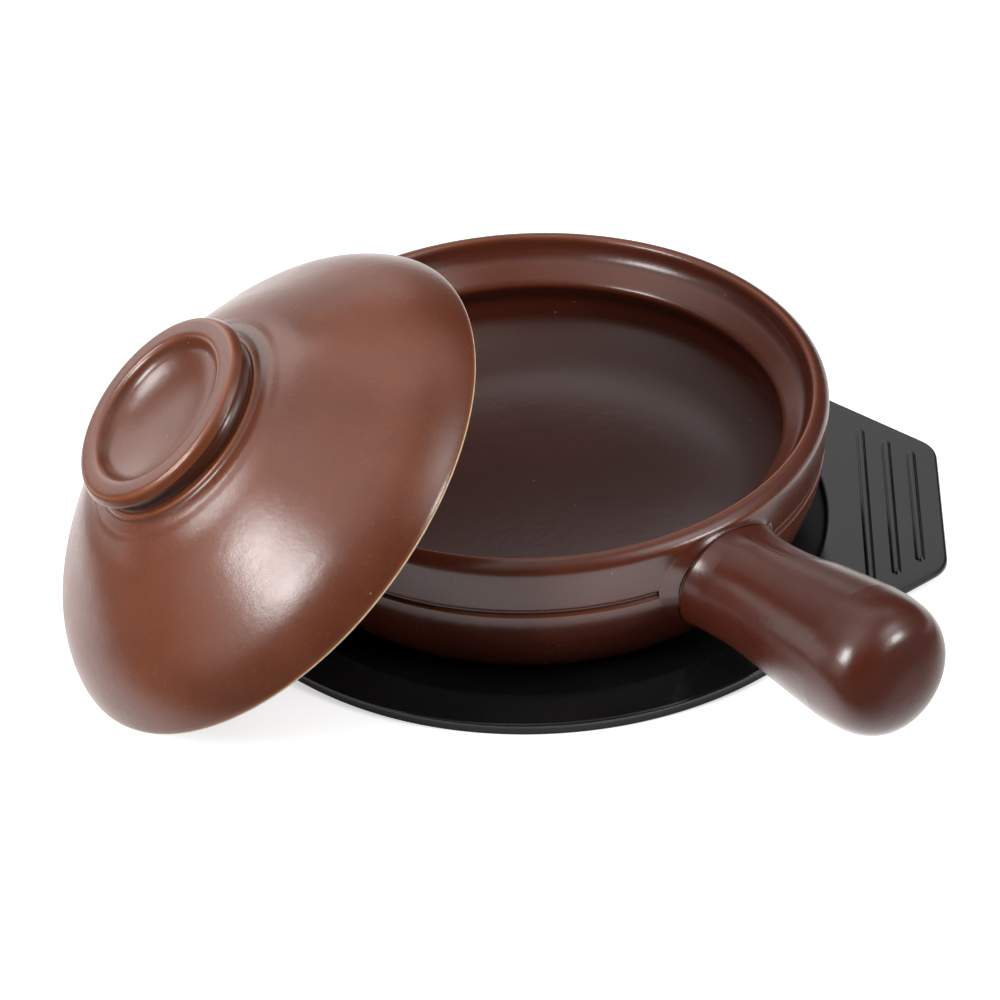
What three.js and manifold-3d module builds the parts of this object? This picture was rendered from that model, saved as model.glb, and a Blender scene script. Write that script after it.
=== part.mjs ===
// Single-handled ceramic cooking pot with its lid, standing on a two-eared tray.
// Units are millimetres, +Z is up. The origin is the middle of the tray's underside,
// which lies on the table, and +X runs out through one of the tray's ears.
// The pot stands in the tray's recess, and the lid stands on its rim beside the pot,
// tipped over the pot's mouth with its knob turned away.

import * as THREE from 'three';
import * as BufferGeometryUtils from 'three/addons/utils/BufferGeometryUtils.js';
import Module from 'manifold-3d';

const wasm = await Module();
wasm.setup();

// ---------------------------------------------------------------- dimensions
const GAP = 0.3;                  // clearance left between pieces that meet

const TRAY_R = 104.3;             // radius of the tray's round edge
const TRAY_TOP = 4.2;             // height of the tray's upper face
const RECESS_R = 89.4;            // radius of the shallow recess that holds the pot
const RECESS_FLOOR = 2.2;         // height of the recess floor
const EAR_X = 125.0;              // how far each ear reaches from the middle
const EAR_HALF_W = 31.4;          // half the width of an ear's straight outer edge
const EAR_TANGENT_DEG = 50;       // where an ear's sides leave the round edge
const EAR_UNDERSIDE = 2.6;        // the ears are thinner than the disc
const EAR_CORNER_R = 6.0;         // rounding of the ears' outer corners
const RIB_X = [101.4, 109.2, 116.7];
const RIB_LEN = [82.0, 69.0, 56.5];
const RIB_W = 2.5;
const RIB_H = 0.9;                // how far a rib stands above the ear

const POT_FOOT = RECESS_FLOOR + GAP;   // the foot stands on the recess floor
const RIM_R = 90.0;               // widest radius of the pot, just under its rim
const RIM_TOP = 50.9;             // height of the rim above the table
const LEDGE_OUT = [81.4, 43.5];   // outer corner of the lid's ledge: radius, height
const LEDGE_IN = [76.3, 39.1];    // inner edge of the lid's ledge
const GROOVE_Z = 32.7;            // middle of the incised line round the wall
const GROOVE_DEPTH = 1.1;
const POT_FLOOR = 9.1;            // inside floor height

const HANDLE_AZ_DEG = -49.9;      // direction of the handle seen from above
const HANDLE_START_R = 84.0;      // where the handle's axis is measured from
const HANDLE_START_Z = 30.0;
const HANDLE_TIP_R = 167.1;
const HANDLE_TIP_Z = 36.0;
const HANDLE_WALL = 5.0;          // thickness of the hollow handle's clay

const LID_R = 81.0;               // widest radius of the lid, at its bare rim
const LID_CENTRE = [-75.85, -53.98, 52.95];  // middle of the lid's rim circle
const LID_AXIS_AZ_DEG = 195.24;   // direction that the lid's knob points in plan
const LID_AXIS_EL_DEG = 49.3;     // and above the horizontal
const BOSS_TOP = 39.6;            // flat on the crown that carries the knob
const KNOB_R = 31.9;              // radius of the knob's flange
const KNOB_TOP = 48.4;            // height of the knob above the lid's rim plane

const POT_SEGMENTS = 60;
const LID_SEGMENTS = 60;
const KNOB_SEGMENTS = 40;
const HANDLE_SEGMENTS = 26;
const TRAY_SEGMENTS = 72;

// ----------------------------------------------------------------- materials
const glaze = () => new THREE.MeshStandardMaterial({ color: 0x5a3024, roughness: 0.28, metalness: 0.0 });
const plastic = () => new THREE.MeshStandardMaterial({ color: 0x141416, roughness: 0.35, metalness: 0.0 });

// ------------------------------------------------------------------- helpers
// A lathe about +Z. Profile points are [radius, height].
function turned(profile, segments) {
  const g = new THREE.LatheGeometry(profile.map(([r, z]) => new THREE.Vector2(r, z)), segments);
  g.rotateX(Math.PI / 2);
  return g;
}

function solidOf(geometry) {
  const g = geometry.clone();
  g.deleteAttribute('normal');
  g.deleteAttribute('uv');
  const m = BufferGeometryUtils.mergeVertices(g, 1e-4);
  const index = Array.from(m.index.array);
  const pos = m.attributes.position.array;
  // drop slivers that collapsed on the axis, and turn the faces outwards
  const tris = [];
  let volume = 0;
  for (let i = 0; i < index.length; i += 3) {
    const [a, b, c] = [index[i], index[i + 1], index[i + 2]];
    if (a === b || b === c || a === c) continue;
    tris.push(a, b, c);
    const A = new THREE.Vector3().fromArray(pos, a * 3);
    const B = new THREE.Vector3().fromArray(pos, b * 3);
    const C = new THREE.Vector3().fromArray(pos, c * 3);
    volume += A.dot(B.cross(C)) / 6;
  }
  if (volume < 0) for (let i = 0; i < tris.length; i += 3) [tris[i + 1], tris[i + 2]] = [tris[i + 2], tris[i + 1]];
  return new wasm.Manifold(new wasm.Mesh({
    numProp: 3,
    vertProperties: new Float32Array(pos),
    triVerts: new Uint32Array(tris),
  }));
}

function geometryOf(solid) {
  const m = solid.getMesh();
  const n = m.numProp;
  const pos = new Float32Array((m.vertProperties.length / n) * 3);
  for (let i = 0, j = 0; i < m.vertProperties.length; i += n, j += 3) {
    pos[j] = m.vertProperties[i];
    pos[j + 1] = m.vertProperties[i + 1];
    pos[j + 2] = m.vertProperties[i + 2];
  }
  const g = new THREE.BufferGeometry();
  g.setAttribute('position', new THREE.BufferAttribute(pos, 3));
  g.setIndex(new THREE.BufferAttribute(new Uint32Array(m.triVerts), 1));
  g.computeVertexNormals();
  return g;
}

function piece(name, geometry, material) {
  const mesh = new THREE.Mesh(geometry, material);
  mesh.name = name;
  return mesh;
}

// A disc of the given radius between two heights.
function disc(r, z0, z1, segments) {
  return solidOf(turned([[0, z0], [r, z0], [r, z1], [0, z1]], segments));
}

// Moves a geometry made about +Z so that its axis runs from `from` along `dir`.
function alongAxis(geometry, from, dir) {
  const q = new THREE.Quaternion().setFromUnitVectors(new THREE.Vector3(0, 0, 1), dir);
  geometry.applyQuaternion(q);
  geometry.translate(from.x, from.y, from.z);
  return geometry;
}

// ---------------------------------------------------------------------- tray
// A thin moulded plate: a disc with a shallow round recess, and two opposite ears
// whose sides leave the round edge as tangents. Three ribs stand on each ear.
const tangent = THREE.MathUtils.degToRad(EAR_TANGENT_DEG);
const earRoot = [TRAY_R * Math.cos(tangent), TRAY_R * Math.sin(tangent)];

function earPlate(side) {
  const s = new THREE.Shape();
  const x0 = earRoot[0] - 12;
  const corner = EAR_CORNER_R;
  // direction of the slanted side, from its root to the outer corner
  const dx = EAR_X - earRoot[0];
  const dy = EAR_HALF_W - earRoot[1];
  const l = Math.hypot(dx, dy);
  s.moveTo(x0 * side, -earRoot[1]);
  s.lineTo(earRoot[0] * side, -earRoot[1]);
  s.lineTo((EAR_X - dx / l * corner) * side, -(EAR_HALF_W - dy / l * corner));
  s.quadraticCurveTo(EAR_X * side, -EAR_HALF_W, EAR_X * side, -(EAR_HALF_W - corner));
  s.lineTo(EAR_X * side, EAR_HALF_W - corner);
  s.quadraticCurveTo(EAR_X * side, EAR_HALF_W, (EAR_X - dx / l * corner) * side, EAR_HALF_W - dy / l * corner);
  s.lineTo(earRoot[0] * side, earRoot[1]);
  s.lineTo(x0 * side, earRoot[1]);
  s.closePath();
  const g = new THREE.ExtrudeGeometry(s, { depth: TRAY_TOP - EAR_UNDERSIDE, bevelEnabled: false, curveSegments: 4 });
  g.translate(0, 0, EAR_UNDERSIDE);
  return solidOf(g);
}

function rib(x, length) {
  const s = new THREE.Shape();
  const h = length / 2 - RIB_W / 2;
  const r = RIB_W / 2;
  s.moveTo(x + r, -h);
  s.lineTo(x + r, h);
  s.absarc(x, h, r, 0, Math.PI, false);
  s.lineTo(x - r, -h);
  s.absarc(x, -h, r, Math.PI, 2 * Math.PI, false);
  const g = new THREE.ExtrudeGeometry(s, { depth: RIB_H + 0.6, bevelEnabled: false, curveSegments: 5 });
  g.translate(0, 0, TRAY_TOP - 0.6);
  return solidOf(g);
}

let traySolid = solidOf(turned([
  [0, 0], [TRAY_R - 1.0, 0], [TRAY_R - 0.4, 0.3], [TRAY_R - 0.2, 2.1], [TRAY_R, 2.3],
  [TRAY_R, TRAY_TOP - 1.1], [TRAY_R - 0.35, TRAY_TOP - 0.3], [TRAY_R - 1.1, TRAY_TOP], [0, TRAY_TOP],
], TRAY_SEGMENTS));
traySolid = traySolid.add(earPlate(1)).add(earPlate(-1));
traySolid = traySolid.subtract(solidOf(turned([
  [0, RECESS_FLOOR], [RECESS_R - 1.2, RECESS_FLOOR], [RECESS_R - 0.3, RECESS_FLOOR + 0.5],
  [RECESS_R, TRAY_TOP + 5], [0, TRAY_TOP + 5],
], TRAY_SEGMENTS)));
for (const side of [1, -1]) {
  RIB_X.forEach((x, i) => { traySolid = traySolid.add(rib(x * side, RIB_LEN[i])); });
}
const tray = piece('tray', geometryOf(traySolid), plastic());

// ------------------------------------------------------------------ pot body
// Thrown shallow vessel: foot ring, rounded belly, incised line, thick rim, and a
// sloping ledge inside the rim that carries the lid.
const wallOutside = [
  [66.0, POT_FOOT], [73.0, POT_FOOT], [75.4, POT_FOOT + 0.9], [79.4, 7.0], [82.7, 12.0], [84.9, 17.0],
  [86.8, 22.0], [88.2, 27.0], [88.8, GROOVE_Z - 1.2], [88.8 - GROOVE_DEPTH, GROOVE_Z - 0.4],
  [88.8 - GROOVE_DEPTH, GROOVE_Z + 0.5], [88.9, GROOVE_Z + 1.4],
  [89.6, 40.0], [RIM_R, 45.0], [RIM_R, 48.4], [89.6, 49.8], [88.7, 50.6], [87.3, RIM_TOP],
];
const wallInside = [
  [86.0, RIM_TOP], [85.2, 50.4], [84.3, 47.8], [82.9, 44.9], LEDGE_OUT, LEDGE_IN,
  [76.0, 37.6], [76.9, 35.0], [78.2, 31.4], [78.0, 27.4], [76.4, 23.4], [73.0, 19.4],
  [68.6, 16.2], [63.0, 13.6], [57.0, 11.8], [50.0, 10.4], [42.0, 9.5], [33.0, 9.2], [0, POT_FLOOR],
];
const potProfile = [[0, POT_FOOT + 2.0], [62.0, POT_FOOT + 2.0], [64.6, POT_FOOT + 1.4], ...wallOutside, ...wallInside];
const potBody = piece('pot_body', geometryOf(solidOf(turned(potProfile, POT_SEGMENTS))), glaze());

// The space that the wall fills, grown by the gap: pieces that meet the wall are cut by it.
const wallEnvelope = solidOf(turned([
  [0, -20], [72, -20], ...wallOutside.slice(1, 8).map(([r, z]) => [r + GAP, z]),
  [88.9 + GAP, 31.0], [88.9 + GAP, 34.2], [89.6 + GAP, 40.0], [RIM_R + GAP, 45.0], [RIM_R + GAP, 80], [0, 80],
], POT_SEGMENTS));

// -------------------------------------------------------------------- handle
// Hollow slip-cast club that swells to a blunt end. Its open root is stuck to the wall.
const az = THREE.MathUtils.degToRad(HANDLE_AZ_DEG);
const out = new THREE.Vector3(Math.cos(az), Math.sin(az), 0);
const hStart = out.clone().multiplyScalar(HANDLE_START_R).setZ(HANDLE_START_Z);
const hTip = out.clone().multiplyScalar(HANDLE_TIP_R).setZ(HANDLE_TIP_Z);
const hDir = hTip.clone().sub(hStart).normalize();
const hLength = hTip.distanceTo(hStart);

const barrel = [[17.6, 0], [17.4, 10], [17.3, 20], [18.2, 32], [19.6, 44], [20.7, 55], [21.3, hLength - 21]];
const capLength = 21.0;
const capPower = 3.4;
const cap = (r0, length, power, steps) => Array.from({ length: steps }, (_, i) => {
  const t = (i + 1) / steps;
  const u = Math.sin(t * Math.PI / 2);
  return [i === steps - 1 ? 0 : r0 * Math.pow(1 - Math.pow(u, power), 1 / power), hLength - capLength + length * u];
});
const handleOutside = [[0, -8], [17.6, -8], ...barrel, ...cap(21.3, capLength, capPower, 8)];
const handleInside = [
  [0, -10], [12.6, -10], ...barrel.map(([r, s]) => [r - HANDLE_WALL, s]),
  ...cap(21.3 - HANDLE_WALL, capLength - HANDLE_WALL, capPower, 5),
];
const handleSolid = solidOf(alongAxis(turned(handleOutside, HANDLE_SEGMENTS), hStart, hDir))
  .subtract(solidOf(alongAxis(turned(handleInside, HANDLE_SEGMENTS), hStart, hDir)))
  .subtract(wallEnvelope);
const handle = piece('handle', geometryOf(handleSolid), glaze());

// Slip collar: the raised lip of clay round the handle's root that bonds it to the wall.
const collarSolid = solidOf(alongAxis(turned([
  [17.6 + GAP, -8], [21.2, -8], [21.2, 2.2], [20.6, 4.2], [19.6, 5.6], [19.1, 7.4], [18.6, 8.4], [17.6 + GAP, 8.8],
  [17.6 + GAP, -8],
], HANDLE_SEGMENTS), hStart, hDir)).subtract(wallEnvelope);
const collar = piece('handle_collar', geometryOf(collarSolid), glaze());

// ----------------------------------------------------------------------- lid
// Domed lid with a bare rim, a small raised boss on its crown, and hollow underneath.
const domeProfile = [
  [0, BOSS_TOP], [31.1, BOSS_TOP], [31.7, 39.2], [32.3, 38.3], [34.2, 37.3], [38.6, 36.1], [43.9, 33.4],
  [50.3, 29.7], [56.8, 25.4], [63.2, 21.0], [68.9, 16.9], [73.6, 12.8], [77.0, 8.8], [79.4, 5.0],
  [80.8, 2.0], [LID_R, 0.9], [80.5, 0.0], [75.2, 0.0],
  [74.6, 1.2], [72.7, 5.6], [69.2, 10.2], [64.2, 14.9], [58.2, 19.4], [51.7, 23.8], [45.2, 27.7],
  [39.0, 30.6], [30.0, 33.1], [15.0, 34.5], [0, 34.7],
];
const lidDome = piece('lid_dome', geometryOf(solidOf(turned(domeProfile, LID_SEGMENTS))), glaze());

// Turned knob: short neck, wide flange, and a dished top like a foot ring.
const knobProfile = [
  [0, BOSS_TOP + GAP], [28.4, BOSS_TOP + GAP], [27.8, 41.2], [27.8, 42.7], [28.5, 43.9], [30.9, 44.85],
  [KNOB_R, 45.3], [KNOB_R, 45.8], [31.3, 46.9], [30.7, 47.8], [29.6, 48.3], [28.0, KNOB_TOP], [26.3, 48.3],
  [25.1, 47.9], [24.2, 47.2], [23.2, 46.0], [21.8, 44.95], [19.6, 44.0], [16.0, 43.0], [12.0, 42.4], [6.0, 42.0], [0, 41.9],
];
const lidKnob = piece('lid_knob', geometryOf(solidOf(turned(knobProfile, KNOB_SEGMENTS))), glaze());

const lid = new THREE.Group();
lid.add(lidDome, lidKnob);
const lidAz = THREE.MathUtils.degToRad(LID_AXIS_AZ_DEG);
const lidEl = THREE.MathUtils.degToRad(LID_AXIS_EL_DEG);
lid.quaternion.setFromUnitVectors(
  new THREE.Vector3(0, 0, 1),
  new THREE.Vector3(Math.cos(lidEl) * Math.cos(lidAz), Math.cos(lidEl) * Math.sin(lidAz), Math.sin(lidEl)),
);
lid.position.set(...LID_CENTRE);

// ------------------------------------------------------------------ assembly
const cookingPot = new THREE.Group();
cookingPot.add(tray, potBody, handle, collar, lid);

export default cookingPot;
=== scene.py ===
import math

import bmesh
import bpy
import numpy as np
from mathutils import Matrix, Vector, noise


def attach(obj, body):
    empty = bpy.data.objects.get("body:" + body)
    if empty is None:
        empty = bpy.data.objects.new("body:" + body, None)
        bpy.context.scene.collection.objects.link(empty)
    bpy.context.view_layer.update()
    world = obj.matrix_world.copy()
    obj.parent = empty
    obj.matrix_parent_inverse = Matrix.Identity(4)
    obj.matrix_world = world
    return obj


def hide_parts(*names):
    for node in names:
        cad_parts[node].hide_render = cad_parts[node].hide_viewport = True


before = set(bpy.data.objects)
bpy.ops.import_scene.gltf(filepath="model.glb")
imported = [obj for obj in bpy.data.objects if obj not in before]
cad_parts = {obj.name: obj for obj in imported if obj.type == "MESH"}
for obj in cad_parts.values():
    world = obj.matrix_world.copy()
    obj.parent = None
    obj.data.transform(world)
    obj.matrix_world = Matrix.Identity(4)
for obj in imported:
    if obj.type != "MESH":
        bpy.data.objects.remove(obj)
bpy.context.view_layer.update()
MM = 0.001

# ============================================================ shape constants
# All lengths in this block are in millimetres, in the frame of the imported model.
GROOVE_Z = 32.7
RIM_TOP = 50.9
HANDLE_AZ = math.radians(-49.9)
HANDLE_START = np.array([84.0 * math.cos(HANDLE_AZ), 84.0 * math.sin(HANDLE_AZ), 30.0])
HANDLE_TIP = np.array([167.1 * math.cos(HANDLE_AZ), 167.1 * math.sin(HANDLE_AZ), 36.0])
LID_CENTRE = np.array([-75.85, -53.98, 52.95])
LID_AZ, LID_EL = math.radians(195.24), math.radians(49.3)
LID_AXIS = np.array([math.cos(LID_EL) * math.cos(LID_AZ), math.cos(LID_EL) * math.sin(LID_AZ), math.sin(LID_EL)])
TRAY_R, TRAY_TOP, RECESS_R, RECESS_FLOOR = 104.3, 4.2, 89.4, 2.2
EAR_X, EAR_HALF_W, EAR_TANGENT, EAR_UNDER = 125.0, 31.4, math.radians(50), 2.6
RIBS = ((101.4, 82.0), (109.2, 69.0), (116.7, 56.5))


# ==================================================================== helpers
def lerp(a, b, t):
    return a + (b - a) * t


def smoothstep(a, b, x):
    t = np.clip((x - a) / (b - a), 0.0, 1.0)
    return t * t * (3 - 2 * t)


def bump1(x, centre, width):
    return np.exp(-(((x - centre) / width) ** 2))


def spline(points, step=0.3):
    """A dense curve through the points. A point given twice in a row is a corner."""
    runs, run = [], [points[0]]
    for p, q in zip(points, points[1:]):
        if p == q:
            runs.append(run)
            run = [q]
        else:
            run.append(q)
    runs.append(run)
    out = []
    for run in runs:
        P = np.array(run, float)
        if len(P) == 1:
            continue
        if len(P) == 2:
            n = max(2, int(np.linalg.norm(P[1] - P[0]) / step) + 1)
            seg = P[0] + (P[1] - P[0]) * np.linspace(0, 1, n)[:, None]
            out.append(seg if not out else seg[1:])
            continue
        ext = np.vstack([2 * P[0] - P[1], P, 2 * P[-1] - P[-2]])
        seg = [P[0]]
        for i in range(len(P) - 1):
            p0, p1, p2, p3 = ext[i : i + 4]
            k = 0.5
            t0 = 0.0
            t1 = t0 + max(np.linalg.norm(p1 - p0), 1e-6) ** k
            t2 = t1 + max(np.linalg.norm(p2 - p1), 1e-6) ** k
            t3 = t2 + max(np.linalg.norm(p3 - p2), 1e-6) ** k
            n = max(2, int(np.linalg.norm(p2 - p1) / step) + 1)
            for t in np.linspace(t1, t2, n + 1)[1:]:
                a1 = (t1 - t) / (t1 - t0) * p0 + (t - t0) / (t1 - t0) * p1
                a2 = (t2 - t) / (t2 - t1) * p1 + (t - t1) / (t2 - t1) * p2
                a3 = (t3 - t) / (t3 - t2) * p2 + (t - t2) / (t3 - t2) * p3
                b1 = (t2 - t) / (t2 - t0) * a1 + (t - t0) / (t2 - t0) * a2
                b2 = (t3 - t) / (t3 - t1) * a2 + (t - t1) / (t3 - t1) * a3
                seg.append((t2 - t) / (t2 - t1) * b1 + (t - t1) / (t2 - t1) * b2)
        seg = np.array(seg)
        out.append(seg if not out else seg[1:])
    return np.vstack(out)


def even(curve, step):
    d = np.r_[0, np.cumsum(np.linalg.norm(np.diff(curve, axis=0), axis=1))]
    n = max(2, int(round(d[-1] / step)))
    s = np.linspace(0, d[-1], n + 1)
    return np.stack([np.interp(s, d, curve[:, i]) for i in range(curve.shape[1])], 1)


def soften(curve, radius, step):
    """Rounds every corner of an evenly stepped curve by about this radius; its ends stay."""
    if radius <= 0:
        return curve
    k = max(1, int(math.ceil(3 * radius / step)))
    x = np.arange(-k, k + 1) * step
    w = np.exp(-0.5 * (x / radius) ** 2)
    w /= w.sum()
    ext = np.vstack([2 * curve[0] - curve[k:0:-1], curve, 2 * curve[-1] - curve[-2 : -k - 2 : -1]])
    return np.stack([np.convolve(ext[:, i], w, "valid") for i in range(curve.shape[1])], 1)


def thin(curve, tol=0.004, longest=2.5):
    """Leaves out the points that a straight line replaces to within tol, so that steps are fine only where it bends."""
    keep = [0]
    i = 0
    n = len(curve)
    while i < n - 1:
        j = i + 1
        while j + 1 < n:
            a, b = curve[i], curve[j + 1]
            ab = b - a
            L = np.linalg.norm(ab)
            if L > longest:
                break
            q = curve[i + 1 : j + 1] - a
            dist = np.abs(q[:, 0] * ab[1] - q[:, 1] * ab[0]) / max(L, 1e-9)
            if dist.max() > tol:
                break
            j += 1
        keep.append(j)
        i = j
    return curve[keep]


def profile(points, soft=0.35, step=0.12):
    return thin(soften(even(spline(points, step), step), soft, step))


def new_mesh(name, verts, faces, attributes=None, smooth=True):
    me = bpy.data.meshes.new(name)
    me.from_pydata([tuple(v) for v in np.asarray(verts) * MM], [], faces)
    me.validate()
    me.update()
    for key, values in (attributes or {}).items():
        a = me.attributes.new(key, "FLOAT", "POINT")
        a.data.foreach_set("value", np.asarray(values, np.float32))
    if smooth:
        me.polygons.foreach_set("use_smooth", [True] * len(me.polygons))
    ob = bpy.data.objects.new(name, me)
    bpy.context.scene.collection.objects.link(ob)
    return ob


def axis_frame(axis):
    """Two unit vectors across an axis."""
    axis = axis / np.linalg.norm(axis)
    ref = np.array([0, 0, 1.0]) if abs(axis[2]) < 0.9 else np.array([1.0, 0, 0])
    u = np.cross(ref, axis)
    u /= np.linalg.norm(u)
    v = np.cross(axis, u)
    return u, v, axis


def turned(prof, segments, wobble=None, shape=None):
    """Rings of a lathe: profile rows [r, z] by segments. The first and last rows may lie on the axis.
    Returns (rows, segments, 3) points, in the lathe's own frame."""
    a = np.linspace(0, 2 * math.pi, segments, endpoint=False)
    r = np.repeat(prof[:, :1], segments, 1)
    z = np.repeat(prof[:, 1:2], segments, 1)
    A = np.repeat(a[None, :], len(prof), 0)
    if shape is not None:
        r, z = shape(r, z, A)
    return np.stack([r * np.cos(A), r * np.sin(A), z], -1)


def skin(rows, segments, first_pole, last_pole, base=0):
    """Faces for rows of a closed ring grid. A pole row is one vertex."""
    faces = []
    idx = []
    k = base
    for i in range(rows):
        if (i == 0 and first_pole) or (i == rows - 1 and last_pole):
            idx.append([k] * segments)
            k += 1
        else:
            idx.append(list(range(k, k + segments)))
            k += segments
    for i in range(rows - 1):
        a, b = idx[i], idx[i + 1]
        for j in range(segments):
            q = (j + 1) % segments
            f = [a[j], a[q], b[q], b[j]]
            f = [v for n, v in enumerate(f) if v not in f[:n]]
            if len(f) >= 3:
                faces.append(tuple(f))
    return faces, k


def pack_rows(P, first_pole, last_pole):
    out = []
    for i in range(len(P)):
        if (i == 0 and first_pole) or (i == len(P) - 1 and last_pole):
            out.append(P[i].mean(0, keepdims=True))
        else:
            out.append(P[i])
    return np.vstack(out)


def rough_throw(P, amount, scale, seed):
    """A slow hand-made unevenness: returns one number per point."""
    flat = P.reshape(-1, 3)
    off = Vector((seed * 17.3, seed * 5.1, seed * 9.7))
    out = np.fromiter((noise.noise(Vector(p) * scale + off) for p in flat), float, len(flat))
    return (out * amount).reshape(P.shape[:-1])


def flip_if_inside_out(ob):
    me = ob.data
    me.calc_loop_triangles()
    co = np.zeros(len(me.vertices) * 3)
    me.vertices.foreach_get("co", co)
    co = co.reshape(-1, 3)
    t = np.zeros(len(me.loop_triangles) * 3, int)
    me.loop_triangles.foreach_get("vertices", t)
    t = t.reshape(-1, 3)
    vol = np.einsum("ij,ij->i", co[t[:, 0]], np.cross(co[t[:, 1]], co[t[:, 2]])).sum() / 6
    if vol < 0:
        me.flip_normals()
    return vol


# ============================================================== pot: profiles
POT_OUTSIDE = [
    [66.4, 2.62], [72.6, 2.62], [72.6, 2.62], [75.4, 3.5], [79.4, 7.0], [82.7, 12.0], [84.9, 17.0], [86.8, 22.0], [88.15, 27.0],
    [88.75, 31.35], [88.75, 31.35], [87.95, 32.2], [87.75, 32.75], [88.0, 33.3], [88.85, 34.05], [88.85, 34.05], [89.35, 38.0],
    [89.75, 42.0], [89.96, 45.4], [89.98, 47.4], [89.72, 48.55], [89.0, 49.5], [88.0, 50.3], [86.9, 50.75],
]
POT_INSIDE = [
    [85.9, 50.85], [85.15, 50.4], [84.6, 49.2], [84.3, 47.8], [83.9, 46.6], [83.0, 45.0], [82.0, 43.95], [81.0, 43.25], [81.0, 43.25], [76.9, 39.65], [76.9, 39.65],
    [76.15, 38.7], [76.0, 37.6], [76.9, 35.0], [78.2, 31.4], [77.9, 27.6], [76.2, 23.6],
    [73.0, 19.9], [68.8, 17.0], [63.2, 14.5], [57.0, 12.7], [50.0, 11.4], [42.0, 10.45], [33.0, 9.75], [24.0, 9.25], [12.0, 8.85], [0, 8.7],
]
POT_UNDER = [[0, 4.5], [61.5, 4.5], [61.5, 4.5], [64.4, 3.9], [65.6, 2.62], [65.6, 2.62]]


def outer_wall_radius(z):
    """Radius of the pot's outside at a height, without the incised line."""
    pts = np.array([[75.4, 3.5], [79.4, 7.0], [82.7, 12.0], [84.9, 17.0], [86.8, 22.0], [88.15, 27.0], [88.78, 31.4], [88.86, 34.05], [89.35, 38.0], [89.75, 42.0], [89.98, 45.8], [89.98, 60.0]])
    return np.interp(z, pts[:, 1], pts[:, 0])


def potbody_shape(r, z, A):
    """Fades the incised line out on both sides of the handle's root."""
    d = np.abs((A - HANDLE_AZ + math.pi) % (2 * math.pi) - math.pi)
    fade = 1 - smoothstep(math.radians(12.0), math.radians(15.0), d)
    near = (r > 87.0) & (z > 30.9) & (z < 34.6)
    target = outer_wall_radius(z)
    r = np.where(near, r + (target - r) * fade * (target > r), r)
    return r, z


def curvature(prof):
    """Signed bend of the profile at each point, in 1/mm: over 0 where the clay stands out, under 0 in hollows."""
    d = np.diff(prof, axis=0)
    L = np.maximum(np.linalg.norm(d, axis=1), 1e-9)
    t = d / L[:, None]
    cross = t[:-1, 0] * t[1:, 1] - t[:-1, 1] * t[1:, 0]
    k = np.zeros(len(prof))
    k[1:-1] = cross / (0.5 * (L[:-1] + L[1:]))
    area = 0.5 * np.sum(prof[:-1, 0] * prof[1:, 1] - prof[1:, 0] * prof[:-1, 1])
    return k if area > 0 else -k


def spread(prof, values, width):
    """Averages values over a distance along the profile."""
    s = np.r_[0, np.cumsum(np.linalg.norm(np.diff(prof, axis=0), axis=1))]
    w = np.r_[0, np.diff(s)] * 0.5 + np.r_[np.diff(s), 0] * 0.5
    D = np.exp(-0.5 * ((s[:, None] - s[None, :]) / width) ** 2) * w[None, :]
    return (D * values[None, :]).sum(1) / D.sum(1)


def lathe_piece(name, prof, segments, origin, axis, poles, marks, wobble=0.0, wobble_scale=0.02, seed=1.0, shape=None):
    """A turned piece with its marks: each mark gives a number for each profile point."""
    P = turned(prof, segments, shape=shape)
    u, v, w = axis_frame(np.asarray(axis, float))
    if abs(axis[2]) > 0.999:
        u, v, w = np.array([1.0, 0, 0]), np.array([0, 1.0, 0]), np.array([0, 0, 1.0])
    W = origin + P[..., :1] * u + P[..., 1:2] * v + P[..., 2:3] * w
    if wobble:
        n = rough_throw(W, wobble, wobble_scale, seed)
        rad = P[..., :1] * u + P[..., 1:2] * v
        rad /= np.maximum(np.linalg.norm(rad, axis=-1, keepdims=True), 1e-6)
        fade = np.clip(P[..., :2].__abs__().max(-1) / 20.0, 0, 1)
        W = W + rad * (n * fade)[..., None]
    verts = pack_rows(W, poles[0], poles[1])
    faces, _ = skin(len(prof), segments, poles[0], poles[1])
    attributes = {}
    for key, row in marks.items():
        M = np.repeat(np.asarray(row, float)[:, None], segments, 1)
        attributes[key] = pack_rows(M[..., None], poles[0], poles[1])[:, 0]
    ob = new_mesh(name, verts, faces, attributes)
    flip_if_inside_out(ob)
    return ob


def clay_marks(prof, bare=None, extra_edge=None, extra_pool=None):
    k = spread(prof, curvature(prof), 0.30)
    edge = np.clip(spread(prof, np.clip((k - 0.16) / 0.55, 0, 1), 0.35), 0, 1)
    pool = np.clip(spread(prof, np.clip((-k - 0.12) / 0.6, 0, 1), 0.5), 0, 1)
    if extra_edge is not None:
        edge = np.clip(edge + extra_edge(prof), 0, 1)
    if extra_pool is not None:
        pool = np.clip(pool + extra_pool(prof), 0, 1)
    b = np.zeros(len(prof)) if bare is None else bare(prof)
    return {"edge": edge, "pool": pool, "bare": b, "bowl_painted_shade_knob_dark": np.zeros(len(prof)), "dull": np.zeros(len(prof))}


# ======================================================================= pot
pot_prof = profile(POT_UNDER + POT_OUTSIDE + POT_INSIDE, soft=0.30)
pot_prof[0, 0] = pot_prof[-1, 0] = 0.0


def pot_bare(p):
    # the foot ring is wiped clean of glaze
    return ((p[:, 1] < 3.1) & (p[:, 0] > 64.0) & (p[:, 0] < 74.6)).astype(float)


def ledge_painted_light(p):
    # painted light: the sloping ledge that carries the lid is lightened towards the thin orange glaze colour, standing
    # in for light it lacks
    return 0.30 * (smoothstep(76.6, 77.2, p[:, 0]) * smoothstep(82.4, 81.2, p[:, 0]) * (p[:, 1] > 39.0) * (p[:, 1] < 44.6))


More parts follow.
